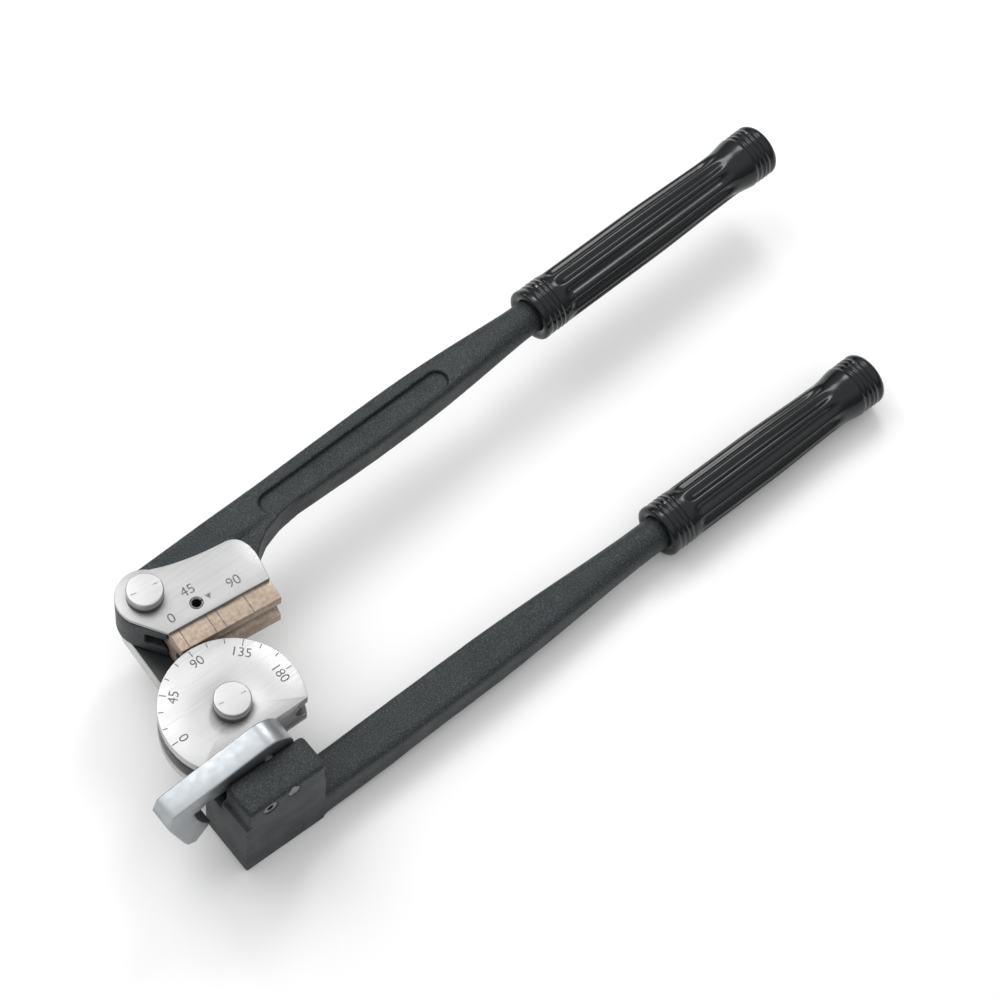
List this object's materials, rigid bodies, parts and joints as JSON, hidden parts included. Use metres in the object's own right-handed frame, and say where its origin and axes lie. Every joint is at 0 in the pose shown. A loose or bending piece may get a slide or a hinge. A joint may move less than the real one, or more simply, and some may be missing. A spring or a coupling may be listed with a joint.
{
  "type": "manual tube bender",
  "caption": "Two-handled hand bender: grooved half-disc form with angle scale, grooved shoe on a linked handle, hooked latch and fluted grips.",
  "frame": {"origin": "on the block's flat back face, on which the bender lies, 36.4 mm and 7 mm from the form's centre", "axes": "+X along the form handle from the form to the grip, +Y from the form handle towards the shoe handle, +Z out of the scale faces"},
  "size_m": [0.5188, 0.1799, 0.077],
  "materials": {
    "cast_black": "fine textured black coating on cast arms",
    "grip_black": "glossy moulded black grip",
    "satin_steel": "satin ground and plated steel",
    "bronze_plated": "bronze tinted plating",
    "dark_steel": "dark oiled steel"
  },
  "bodies": {
    "form_handle_body": {"form_handle": "cast_black", "form_handle_grip": "grip_black", "bending_form": "satin_steel", "form_bolt": "satin_steel", "form_bolt_nut": "dark_steel", "form_screw_1": "dark_steel", "form_screw_2": "dark_steel", "latch_pin": "dark_steel", "latch_detent_plunger": "dark_steel", "arm_spacer_washer": "satin_steel", "form_spacer_washer": "satin_steel"},
    "link_body": {"link": "satin_steel", "link_form_bush": "bronze_plated", "link_shoe_bush": "bronze_plated", "shoe_bolt": "satin_steel", "shoe_bolt_nut": "dark_steel", "shoe_bolt_washer": "satin_steel", "shoe_spacer_washer": "satin_steel"},
    "shoe_handle_body": {"shoe_handle": "cast_black", "shoe_handle_grip": "grip_black", "shoe": "bronze_plated", "shoe_scale_plate": "satin_steel", "shoe_roll_pin": "dark_steel", "shoe_dowel_1": "dark_steel", "shoe_dowel_2": "dark_steel"},
    "latch_body": {"latch": "satin_steel"}
  },
  "joints": [
    {"name": "link_swing", "type": "hinge", "parent": "form_handle_body", "child": "link_body", "pos_m": [0.007, 0.0364, 0.033], "axis": [0, 0, 1], "range_deg": [-85, 93]},
    {"name": "shoe_handle_swing", "type": "hinge", "parent": "link_body", "child": "shoe_handle_body", "pos_m": [0.00719, 0.11147, 0.0525], "axis": [0, 0, 1], "range_deg": [0, 100]},
    {"name": "latch_swing", "type": "hinge", "parent": "form_handle_body", "child": "latch_body", "pos_m": [0.0045, 0.00975, 0.061], "axis": [0, 1, 0], "range_deg": [0, 100]}
  ]
}
